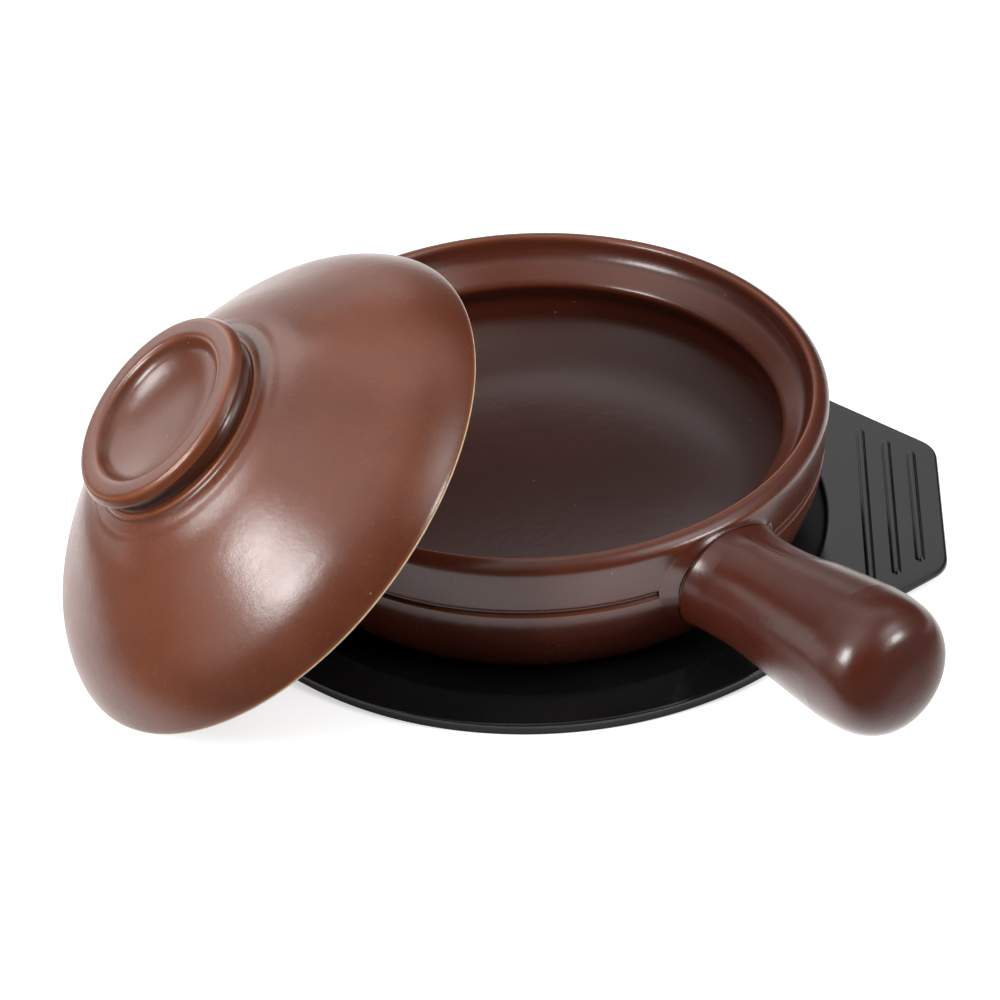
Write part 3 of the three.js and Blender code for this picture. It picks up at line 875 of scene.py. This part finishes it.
cam.matrix_world = Matrix((
    (cr[0], cu[0], -cf[0], 0.039147), (cr[1], cu[1], -cf[1], -1.121037), (cr[2], cu[2], -cf[2], 0.82571), (0, 0, 0, 1)))
bpy.context.scene.collection.objects.link(cam)
bpy.context.scene.camera = cam

# ====================================================================== room
floor_mesh = bpy.data.meshes.new("studio_floor")
S = 3.0
floor_mesh.from_pydata([(-S, -S, 0), (S, -S, 0), (S, S, 0), (-S, S, 0)], [], [(0, 1, 2, 3)])
floor = bpy.data.objects.new("studio_floor", floor_mesh)
floor.location.z = -0.0001
bpy.context.scene.collection.objects.link(floor)
fm, ft, fb = new_material("studio_paper")
fn = Net(ft)
fn.link(fn.mix(fn.noise(6.0, 2.0, 0.5), (0.88, 0.88, 0.88), (0.90, 0.90, 0.90)), fb.inputs["Base Color"])
fb.inputs["Roughness"].default_value = 0.9
fb.inputs["Emission Color"].default_value = (1.0, 1.0, 1.0, 1.0)

# painted shade: to mirror-like rays the floor is bright close to the object and painted darker further out; no lamp
# makes this falloff
fp = ft.nodes.new("ShaderNodeSeparateXYZ")
fg = ft.nodes.new("ShaderNodeNewGeometry")
ft.links.new(fg.outputs["Position"], fp.inputs[0])
fx, fy = fp.outputs[0], fp.outputs[1]
fd = fn.math("SQRT", fn.math("ADD", fn.math("POWER", fn.math("MULTIPLY", fx, 0.8), 2.0), fn.math("POWER", fy, 2.0)))
painted_floor_shade = fn.math("MULTIPLY", fn.remap(fd, 0.150, 0.205), fn.remap(fy, 0.16, 0.02))
fl = ft.nodes.new("ShaderNodeLightPath")
painted_floor_shade = fn.math("MULTIPLY", painted_floor_shade, fl.outputs["Is Glossy Ray"])
# painted light: to mirror-like rays the paper under the handle glows a little more, a painted reflection on the
# handle's underside; no lamp lights it
fr = fn.math("ADD", fn.math("POWER", fn.math("SUBTRACT", fx, 0.075), 2.0), fn.math("POWER", fn.math("ADD", fy, 0.130), 2.0))
painted_glow_under_handle = fn.math("MULTIPLY", fn.remap(fn.math("SQRT", fr), 0.085, 0.02, 0.0, 0.75), fl.outputs["Is Glossy Ray"])
fe = fn.mixf(fl.outputs["Is Diffuse Ray"], 0.55, 0.0)
fe = fn.math("ADD", fe, painted_glow_under_handle)
# painted shadow: to mirror-like rays a thin ring of paper round the tray is darkened, as a contact shadow
fr2 = fn.math("SQRT", fn.math("ADD", fn.math("POWER", fx, 2.0), fn.math("POWER", fy, 2.0)))
painted_contact_shadow = fn.math("MULTIPLY", fn.remap(fr2, 0.105, 0.111, 0.75, 0.0), fl.outputs["Is Glossy Ray"])
painted_floor_shade = fn.math("MAXIMUM", painted_floor_shade, painted_contact_shadow)
fe = fn.math("MULTIPLY", fe, fn.math("SUBTRACT", 1.0, painted_floor_shade))
ft.links.new(fe, fb.inputs["Emission Strength"])
# painted shade: to diffuse rays the paper is painted dark, so it bounces less light up onto the pieces; to mirror-like
# rays it darkens as above
painted_floor_shade = fn.math("MAXIMUM", fn.math("MULTIPLY", painted_floor_shade, 0.96), fn.math("MULTIPLY", fl.outputs["Is Diffuse Ray"], 0.60))
ft.links.new(fn.mix(painted_floor_shade, fb.inputs["Base Color"].links[0].from_socket, (0.03, 0.03, 0.03)), fb.inputs["Base Color"])
floor.data.materials.append(fm)

world = bpy.data.worlds.new("studio")
bpy.context.scene.world = world
world.use_nodes = True
world.node_tree.nodes.clear()
wt = world.node_tree
wo = wt.nodes.new("ShaderNodeOutputWorld")
wb = wt.nodes.new("ShaderNodeBackground")
wt.links.new(wb.outputs[0], wo.inputs[0])
wn = Net(wt)
sky_dir = wt.nodes.new("ShaderNodeVectorMath")
sky_dir.operation = "NORMALIZE"
wt.links.new(wt.nodes["Texture Coordinate"].outputs["Generated"], sky_dir.inputs[0])


def glow(azimuth, elevation, width, strength):
    """One soft round glow of the studio: brightest in its middle, fading over its width in degrees."""
    a, e = math.radians(azimuth), math.radians(elevation)
    d = wt.nodes.new("ShaderNodeVectorMath")
    d.operation = "DOT_PRODUCT"
    d.inputs[1].default_value = (math.cos(e) * math.cos(a), math.cos(e) * math.sin(a), math.sin(e))
    wt.links.new(sky_dir.outputs[0], d.inputs[0])
    x = wn.math("MULTIPLY", wn.math("SUBTRACT", d.outputs["Value"], 1.0), 1.0 / math.radians(width) ** 2)
    return wn.math("MULTIPLY", wn.math("EXPONENT", x), strength)


SKY = [(112, 3, 16, 1.40), (134, 37, 11, 0.45), (117, 46, 7, 0.85), (99, 62, 8.5, 1.50), (97, 25, 5, 1.10), (10, 44, 20, 0.55), (-175, 62, 17, 1.95),
       (-150, 18, 11, 1.30), (-160, 8, 9, 0.80), (-19, 50, 10, 6.00), (-108, 60, 13, 0.50), (60, 86, 15, 0.30), (60, 54, 8, 1.20)]
total = None
for entry in SKY:
    part = glow(*entry)
    total = part if total is None else wn.math("ADD", total, part)
wt.links.new(wn.math("ADD", total, 0.03), wb.inputs[1])


def softbox(name, direction, distance, size, power, colour=(1, 1, 1), target=(0, 0, 0.03), shape="RECTANGLE", size_y=None, roll=0.0):
    L = bpy.data.lights.new(name, "AREA")
    L.shape = shape
    L.size = size
    if size_y:
        L.size_y = size_y
    elif shape == "RECTANGLE":
        L.size_y = size
    L.energy = power
    L.color = colour
    o = bpy.data.objects.new(name, L)
    d = Vector(direction).normalized()
    o.location = Vector(target) + d * distance
    o.rotation_mode = "QUATERNION"
    o.rotation_quaternion = d.to_track_quat("Z", "Y")
    if roll:
        o.rotation_quaternion = o.rotation_quaternion @ Matrix.Rotation(roll, 4, "Z").to_quaternion()
    bpy.context.scene.collection.objects.link(o)
    return o


def toward(azimuth, elevation):
    a, e = math.radians(azimuth), math.radians(elevation)
    return (math.cos(e) * math.cos(a), math.cos(e) * math.sin(a), math.sin(e))


def softbox_power(radiance, width, height):
    return radiance * math.pi * width * height


def only_for(light, receivers, blockers):
    """Keeps a light to some pieces, as a small lamp with a snoot would."""
    for kind, group in (("receiver_collection", receivers), ("blocker_collection", blockers)):
        c = bpy.data.collections.new(light.name + "_" + kind)
        for ob in group:
            c.objects.link(ob)
        setattr(light.light_linking, kind, c)


softbox("key", toward(-143, 34), 1.5, 0.39, softbox_power(24.5, 0.39, 0.53), target=(-0.05, -0.05, 0.05), size_y=0.53)
softbox("side", toward(-24, 25), 1.3, 0.27, softbox_power(29.0, 0.27, 0.32), target=(0.08, -0.1, 0.04), size_y=0.32)
lid_pieces, pot_pieces = (lid_dome, lid_knob), (pot_body, handle, handle_collar, tray)
only_for(softbox("card", toward(87, 35), 0.305, 0.13, softbox_power(0.85, 0.13, 0.13), target=(0.115, 0.0, 0.004), size_y=0.13), (tray,), pot_pieces)
only_for(softbox("left", toward(175, 31), 1.5, 0.50, softbox_power(14.0, 0.50, 0.46), target=(-0.1, -0.07, 0.09), size_y=0.46), lid_pieces, lid_pieces)
only_for(softbox("fill", toward(130, 28), 0.9, 0.48, softbox_power(1.9, 0.48, 0.72), target=(-0.1, -0.07, 0.09), size_y=0.72), lid_pieces, lid_pieces)
only_for(softbox("low", toward(172, 8), 0.9, 0.46, softbox_power(1.5, 0.46, 0.42), target=(0.08, -0.1, 0.04), size_y=0.42), (handle, handle_collar), pot_pieces)

bpy.context.scene.view_settings.view_transform = "Standard"
bpy.context.scene.view_settings.look = "None"
